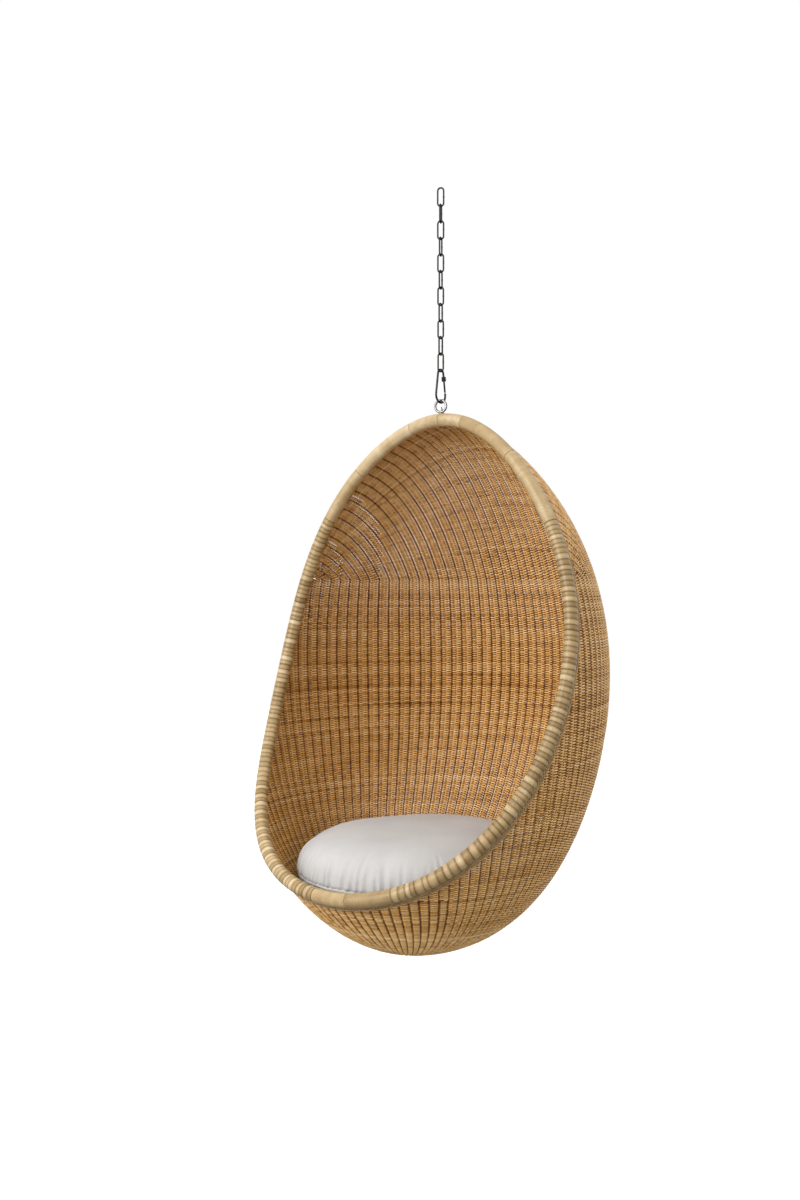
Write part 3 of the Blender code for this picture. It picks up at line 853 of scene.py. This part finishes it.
def build_chain():
    bodies = {1: "hanging_link", 2: "link_02"}
    bend = LINK_WIDTH / 2 - LINK_WIRE_R
    for number in range(1, LINK_COUNT + 1):
        inner_top = -(number - 1) * LINK_PITCH
        top = inner_top + LINK_WIRE_R - bend
        low = inner_top - LINK_INNER_LENGTH - LINK_WIRE_R + bend
        arc = np.linspace(0, pi, 19)
        upper = np.stack([bend * np.cos(arc), top + bend * np.sin(arc)], -1)
        lower = np.stack([-bend * np.cos(arc), low - bend * np.sin(arc)], -1)
        drop = np.linspace(top, low, 9)[1:-1]
        left = np.stack([np.full(7, -bend), drop], -1)
        right = np.stack([np.full(7, bend), drop[::-1]], -1)
        flat = np.concatenate([upper, left, lower, right])
        from_weld = (flat[:, 1] - (top + low) / 2) / 0.0016
        swell = 0.00032 * np.exp(-(from_weld**2)) * (flat[:, 0] > 0)
        turn = link_turn(number)
        path = np.stack([flat[:, 0] * cos(turn), flat[:, 0] * sin(turn), flat[:, 1]], -1)
        up = np.tile((-sin(turn), cos(turn), 0.0), (len(path), 1))
        bundle = Bundle(14)
        bundle.add(path, up, LINK_WIRE_R + swell, LINK_WIRE_R + swell, 0.5, True)
        body = bodies.get(number, "chain")
        name = f"steel_link_{number:02d}"
        bundle.build(name, CHAIN_STEEL, body, "dark_chain_steel", (f"chain_link_{number:02d}",))


def build_eye():
    bundle = Bundle(18)
    turn, around = radians(EYE_TURN), 2 * pi * np.arange(72) / 72
    reach = EYE_R * np.cos(around)
    height = EYE_Z + EYE_R * np.sin(around)
    path = np.stack([reach * cos(turn), reach * sin(turn), height], -1)
    up = np.tile((-sin(turn), cos(turn), 0.0), (len(path), 1))
    bundle.add(path, up, EYE_WIRE_R, EYE_WIRE_R, 0.5, True)
    low = EYE_Z - EYE_R
    height = np.array([low - 0.001, low - 0.004, low - 0.008, RIM_Z - 0.016, RIM_Z - 0.0175])
    shank = np.stack([np.zeros(5), np.zeros(5), height], -1)
    thick = np.array([EYE_WIRE_R, EYE_WIRE_R * 1.12, EYE_WIRE_R, EYE_WIRE_R, EYE_WIRE_R * 0.8])
    bundle.add(shank, np.tile((1.0, 0.0, 0.0), (5, 1)), thick, thick, 0.5)
    bundle.build("eye_ring", EYE_STEEL, "egg_chair", "bright_eye_steel", ("eye_bolt",))


def finish_cad_metal():
    for node, mat in (
        ("snap_hook", HOOK_STEEL),
        ("snap_gate", HOOK_STEEL),
        ("gate_rivet", RIVET_STEEL),
        ("eye_washer", PLATED_STEEL),
        ("eye_nut", PLATED_STEEL),
        ("rim_pole", POLE_METAL),
    ):
        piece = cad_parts[node]
        piece.data.materials.clear()
        piece.data.materials.append(mat)
        edge = piece.modifiers.new("edge", "BEVEL")
        edge.width = 0.0004
        edge.segments = 2
        edge.limit_method = "ANGLE"
        edge.angle_limit = radians(38)


# ---------------------------------------------------------------- cushion
PAD_R = CUSHION_R - 0.014
PAD_RISE = CUSHION_RISE - 0.016
PAD_SINK = CUSHION_SINK - 0.010
VOXEL = 0.0057
BLOW_FRAMES = 20
MOST_BLOWN = 0.024
SEAM_R = CUSHION_R - 0.0075
TOP = CUSHION_RISE - 0.001
BASE = CUSHION_SINK - 0.001
FULLNESS = 3.1
PLEATS = 86


def cushion_start():
    """A round pad a little smaller than the finished cushion."""
    around, rings = 128, 22
    turn = 2 * pi * np.arange(around) / around
    angle = np.linspace(pi / 2, -pi / 2, 2 * rings + 1)[1:-1]
    reach = PAD_R * np.cos(angle)[:, None] ** 0.60
    lift = np.sin(angle)
    height = np.where(angle > 0, PAD_RISE, PAD_SINK) * np.sign(lift) * np.abs(lift) ** 0.62
    tall = np.repeat(height[:, None], around, 1)
    rows = np.stack([reach * np.cos(turn)[None], reach * np.sin(turn)[None], tall], -1)
    points = np.concatenate([rows.reshape(-1, 3), [(0, 0, PAD_RISE), (0, 0, -PAD_SINK)]])
    count = len(angle)
    faces = []
    for ring in range(count - 1):
        for step in range(around):
            after = (step + 1) % around
            here, below = ring * around, (ring + 1) * around
            faces.append((here + step, below + step, below + after, here + after))
    top, low = count * around, count * around + 1
    for step in range(around):
        after = (step + 1) % around
        faces.append((top, step, after))
        faces.append((low, (count - 1) * around + after, (count - 1) * around + step))
    mesh = bpy.data.meshes.new("seat_cushion")
    mesh.from_pydata((points + CUSHION_CENTRE).tolist(), [], faces)
    pad = bpy.data.objects.new("seat_pad", mesh)
    bpy.context.scene.collection.objects.link(pad)
    return pad


def apply_modifier(piece, modifier):
    depsgraph = bpy.context.evaluated_depsgraph_get()
    shaped = bpy.data.meshes.new_from_object(piece.evaluated_get(depsgraph))
    old = piece.data
    piece.modifiers.remove(modifier)
    piece.data = shaped
    bpy.data.meshes.remove(old)


def co_of(mesh):
    flat = np.empty(len(mesh.vertices) * 3, np.float32)
    mesh.vertices.foreach_get("co", flat)
    return flat.reshape(-1, 3).astype(float)


def set_co(mesh, points):
    mesh.vertices.foreach_set("co", points.astype(np.float32).ravel())
    mesh.update()


def inflate(pad):
    """Blows the pad up under pressure with its seam held, and keeps the movement small."""
    local = co_of(pad.data)
    seam = np.abs(local[:, 2] - CUSHION_CENTRE[2]) < 0.006
    pins = pad.vertex_groups.new(name="seam")
    pins.add(np.flatnonzero(seam).tolist(), 1.0, "REPLACE")
    cloth = pad.modifiers.new("cloth", "CLOTH")
    cloth.settings.quality = 5
    cloth.settings.mass = 0.3
    cloth.settings.tension_stiffness = 12
    cloth.settings.compression_stiffness = 12
    cloth.settings.bending_stiffness = 0.4
    cloth.settings.use_pressure = True
    cloth.settings.uniform_pressure_force = 4.0
    cloth.settings.effector_weights.gravity = 0.0
    cloth.settings.vertex_group_mass = "seam"
    cloth.point_cache.frame_start, cloth.point_cache.frame_end = 1, BLOW_FRAMES
    for number in range(1, BLOW_FRAMES + 1):
        bpy.context.scene.frame_set(number)
    apply_modifier(pad, cloth)
    moved = co_of(pad.data) - local
    length = np.linalg.norm(moved, axis=1)
    share = np.minimum(1.0, MOST_BLOWN / np.maximum(length, 1e-9))
    set_co(pad.data, local + moved * share[:, None])
    bpy.context.scene.frame_set(1)


def gathers():
    """Turns, depths, widths, lengths and slants of the pleats that run in from the seam."""
    step = 2 * pi / PLEATS
    turn = np.arange(PLEATS) * step + RANDOM.uniform(-0.30, 0.30, PLEATS) * step
    depth = RANDOM.uniform(0.0016, 0.0070, PLEATS)
    wide = step * RANDOM.uniform(0.16, 0.34, PLEATS)
    length = RANDOM.uniform(0.035, 0.110, PLEATS)
    slant = RANDOM.uniform(-0.5, 0.5, PLEATS)
    return turn, depth, wide, length, slant


def pleat(pad):
    points = co_of(pad.data)
    local = points - CUSHION_CENTRE
    pad.data.update()
    flat = np.empty(len(points) * 3, np.float32)
    pad.data.vertices.foreach_get("normal", flat)
    out = flat.reshape(-1, 3).astype(float)
    angle = np.arctan2(local[:, 1], local[:, 0])
    ring = np.hypot(local[:, 0], local[:, 1])
    inset = np.clip(CUSHION_R - 0.008 - ring, 0, None)
    height = np.abs(local[:, 2])
    travel = np.hypot(inset, height)
    push = np.zeros(len(points))
    for turn, depth, wide, length, slant in zip(*gathers()):
        off = (angle - turn - slant * travel + pi) % (2 * pi) - pi
        crease = np.exp(-((off / (wide * (1 + 4 * travel))) ** 2))
        shoulder = np.exp(-(((np.abs(off) - 1.9 * wide) / (0.9 * wide)) ** 2))
        reach = length * np.where(local[:, 2] > 0, 1.0, 0.55)
        fade = np.clip(1 - travel / reach, 0, 1) ** 1.3 * np.clip(travel / 0.006, 0.15, 1)
        push -= depth * (crease - 0.45 * shoulder) * fade
    slow = sum(np.sin(local @ RANDOM.normal(0, 16, 3) + RANDOM.uniform(0, 6)) for _ in range(5))
    push += 0.0011 * slow * np.clip(travel / 0.05, 0, 1)
    seam = np.exp(-((height / 0.0045) ** 2)) * (ring > CUSHION_R - 0.05)
    set_co(pad.data, points + out * push[:, None] - seam[:, None] * 0.0050 * out)


def fit_cushion(pad):
    """Keeps the blown shape inside the space that the CAD cushion holds."""
    local = co_of(pad.data) - CUSHION_CENTRE
    ring = np.hypot(local[:, 0], local[:, 1])
    local[:, :2] *= SEAM_R / ring.max()
    upper = local[:, 2] > 0
    local[upper, 2] *= TOP / local[:, 2].max()
    local[~upper, 2] *= BASE / -local[:, 2].min()
    across = np.hypot(local[:, 0], local[:, 1]) / (SEAM_R + 0.001)
    height = np.abs(local[:, 2]) / np.where(upper, TOP, BASE)
    full = (across**FULLNESS + height**FULLNESS) ** (1 / FULLNESS)
    local *= (full ** -np.where(upper, 0.85, 0.6))[:, None]
    set_co(pad.data, local + CUSHION_CENTRE)


def build_cushion():
    pad = cushion_start()
    remesh = pad.modifiers.new("remesh", "REMESH")
    remesh.mode = "VOXEL"
    remesh.voxel_size = VOXEL
    apply_modifier(pad, remesh)
    inflate(pad)
    fit_cushion(pad)
    smooth = pad.modifiers.new("smooth", "SUBSURF")
    smooth.levels = smooth.render_levels = 1
    apply_modifier(pad, smooth)
    pleat(pad)
    pad.data.shade_smooth()
    pad.data.materials.clear()
    pad.data.materials.append(CLOTH)
    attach(pad, "seat_cushion")
    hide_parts("cushion_top_panel", "cushion_bottom_panel", "cushion_filling")
    cord = Bundle(10)
    count = 220
    turn = 2 * pi * np.arange(count) / count
    radius = CUSHION_R - 0.0105 + 0.0005 * np.sin(31 * turn) + 0.0004 * np.sin(47 * turn + 1)
    level = CUSHION_CENTRE[2] + 0.0006 * np.sin(23 * turn)
    path = np.stack([radius * np.cos(turn), CUSHION_Y + radius * np.sin(turn), level], -1)
    cord.add(path, np.tile((0.0, 0.0, 1.0), (count, 1)), 0.0036, 0.0036, 0.5, True)
    piping = cord.build("seam_piping", CLOTH, "seat_cushion", "cushion_cloth", ("cushion_piping",))
    piping.parent = pad
    piping.matrix_parent_inverse = pad.matrix_world.inverted()


# ---------------------------------------------------------------- surroundings
FLOOR_Z = -3.20
KEY_SIZE = 2.4
KEY_POWER = 84
KEY_PLACE = (-0.5, -3.0, 0.25)
KEY_AIM = (0.0, 0.0, -1.15)
CAMERA_LENS = 38.62
CAMERA_SHIFT = (-0.0339, -0.0128)
CAMERA_PLACE = (1.8226, -2.4295, -0.934)
CAMERA_TURN = 36.877


def build_stage():
    bpy.ops.mesh.primitive_plane_add(size=30, location=(0, 0, FLOOR_Z))
    floor = bpy.context.object
    floor.name = "floor"
    paint = Paint("floor", roughness=0.9)
    paint.shader.inputs["Base Color"].default_value = (0.30, 0.30, 0.30, 1)
    paint.shader.inputs["Emission Color"].default_value = (1, 1, 1, 1)
    seen = paint.tree.nodes.new("ShaderNodeLightPath").outputs["Is Camera Ray"]
    paint.link(seen, paint.shader.inputs["Emission Strength"])
    floor.data.materials.append(paint.material)
    world = bpy.data.worlds.new("studio")
    world.use_nodes = True
    sky = world.node_tree.nodes["Background"]
    sky.inputs["Color"].default_value = (1, 1, 1, 1)
    sky.inputs["Strength"].default_value = 1.0
    bpy.context.scene.world = world
    lamp = bpy.data.lights.new("key", "AREA")
    lamp.shape = "DISK"
    lamp.size = KEY_SIZE
    lamp.energy = KEY_POWER
    key = bpy.data.objects.new("key", lamp)
    key.location = KEY_PLACE
    aim = Vector(KEY_AIM) - key.location
    key.rotation_euler = aim.to_track_quat("-Z", "Y").to_euler()
    bpy.context.scene.collection.objects.link(key)


def build_camera():
    lens = bpy.data.cameras.new("camera")
    lens.lens = CAMERA_LENS
    lens.sensor_width = 36.0
    lens.shift_x, lens.shift_y = CAMERA_SHIFT
    camera = bpy.data.objects.new("camera", lens)
    camera.location = CAMERA_PLACE
    camera.rotation_euler = (pi / 2, 0.0, radians(CAMERA_TURN))
    bpy.context.scene.collection.objects.link(camera)
    bpy.context.scene.camera = camera


build_weave()
build_binding()
build_border()
build_chain()
build_eye()
finish_cad_metal()
build_cushion()
build_stage()
build_camera()
bpy.context.scene.view_settings.view_transform = "Standard"
